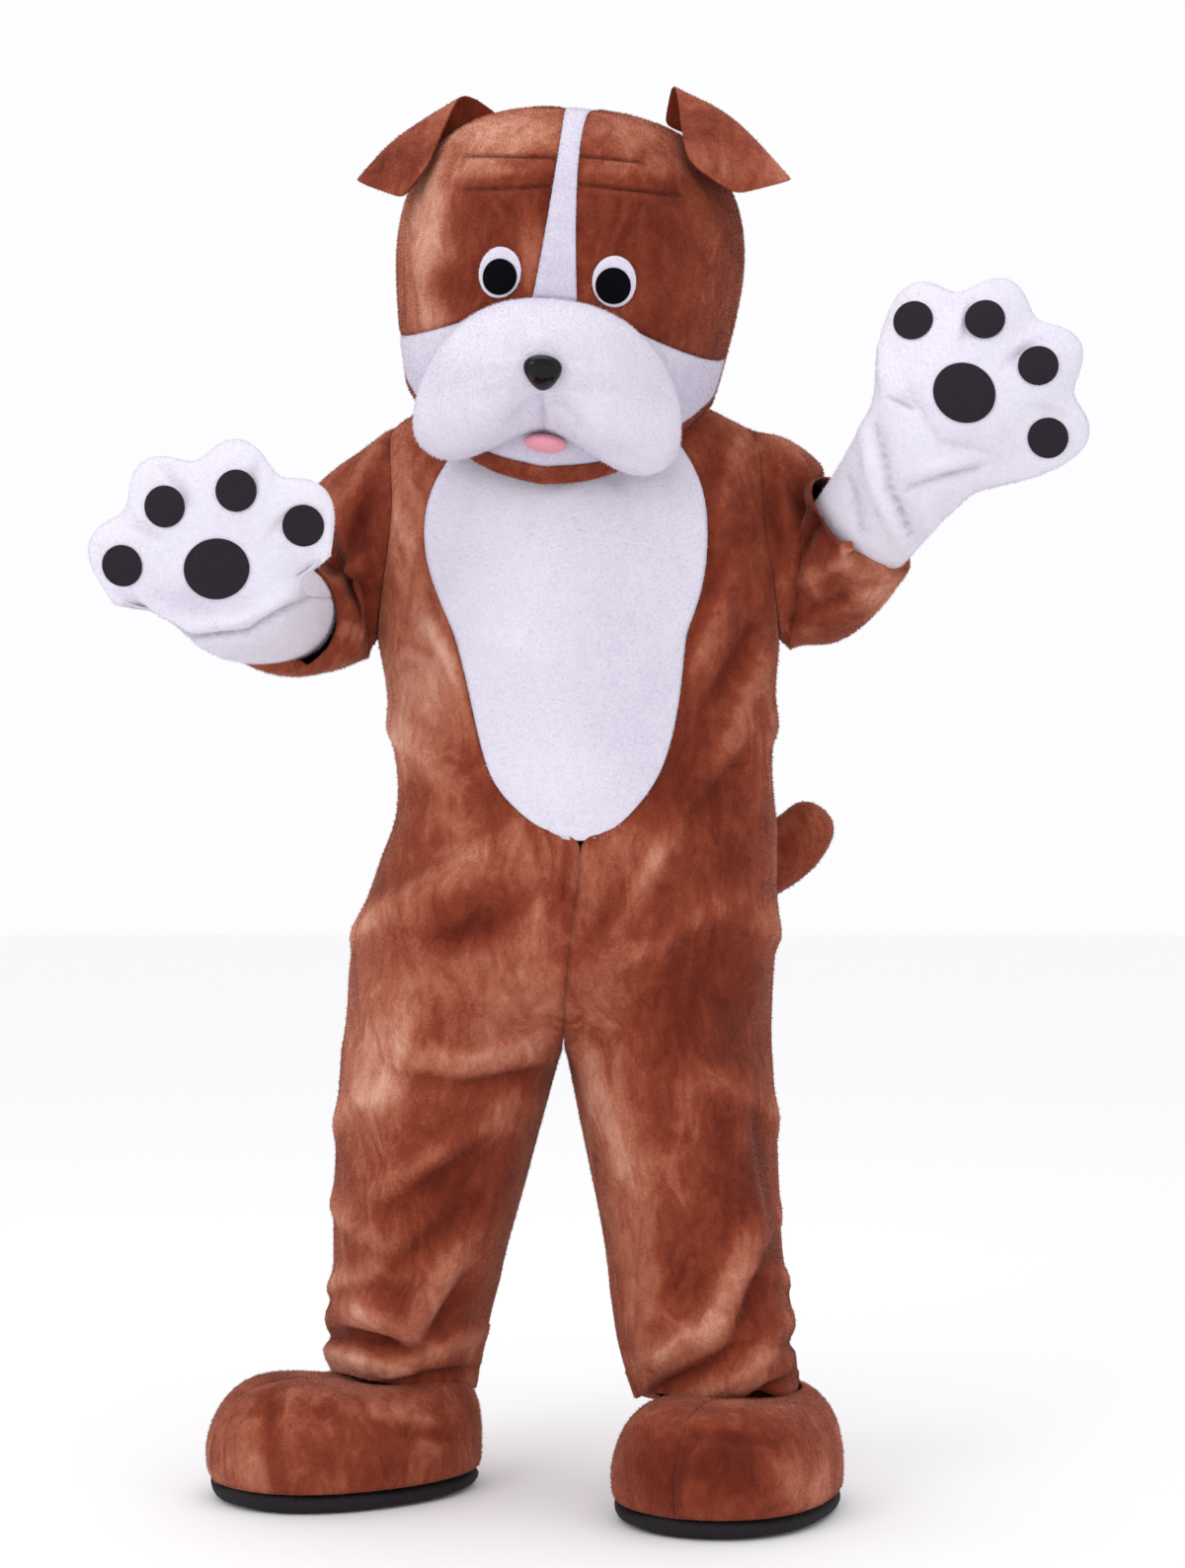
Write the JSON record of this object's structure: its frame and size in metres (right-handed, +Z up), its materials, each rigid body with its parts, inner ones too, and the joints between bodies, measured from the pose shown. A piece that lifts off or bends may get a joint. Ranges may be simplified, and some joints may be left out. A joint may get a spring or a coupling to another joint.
{
  "type": "dog mascot costume",
  "caption": "Plush dog mascot costume as worn: belly-fronted jumpsuit with tail, big bulldog head, paw mitts and boot covers, hollow.",
  "frame": {"origin": "the wearer's shoulders: middle of the shoulder line inside the jumpsuit, 1.38 m above the soles", "axes": "+Z up, the front faces -Y, +X is the viewer's right"},
  "size_m": [1.2338, 0.715, 1.8302],
  "materials": {
    "brown_plush": "short crushed plush, red-brown",
    "white_plush": "short plush, white",
    "black_felt": "matt felt",
    "pink_felt": "matt felt",
    "black_moulded_plastic": "polished",
    "black_mesh": "open mesh seen as solid",
    "black_sole_cloth": "coarse matt cloth over padding"
  },
  "bodies": {
    "root": {"back_left": "brown_plush", "back_right": "brown_plush", "belly": "white_plush", "blaze": "white_plush", "boot_one_left": "brown_plush", "boot_one_right": "brown_plush", "boot_two_left": "brown_plush", "boot_two_right": "brown_plush", "chin_band": "brown_plush", "ear_lining_left": "brown_plush", "ear_lining_right": "brown_plush", "ear_outer_left": "brown_plush", "ear_outer_right": "brown_plush", "eye_mesh_left": "black_mesh", "eye_mesh_right": "black_mesh", "eye_white_left": "white_plush", "eye_white_right": "white_plush", "face_left": "brown_plush", "face_right": "brown_plush", "front_left": "brown_plush", "front_right": "brown_plush", "head_back_left": "brown_plush", "head_back_right": "brown_plush", "heel_pad_left": "black_felt", "heel_pad_right": "black_felt", "jaw": "white_plush", "mitt_back_left": "white_plush", "mitt_back_right": "white_plush", "mitt_palm_left": "white_plush", "mitt_palm_right": "white_plush", "muzzle": "white_plush", "nose": "black_moulded_plastic", "sleeve_left": "brown_plush", "sleeve_right": "brown_plush", "sole_left": "black_sole_cloth", "sole_right": "black_sole_cloth", "tail": "brown_plush", "toe_pad_left_1": "black_felt", "toe_pad_left_2": "black_felt", "toe_pad_left_3": "black_felt", "toe_pad_left_4": "black_felt", "toe_pad_right_1": "black_felt", "toe_pad_right_2": "black_felt", "toe_pad_right_3": "black_felt", "toe_pad_right_4": "black_felt", "tongue": "pink_felt"}
  },
  "joints": []
}
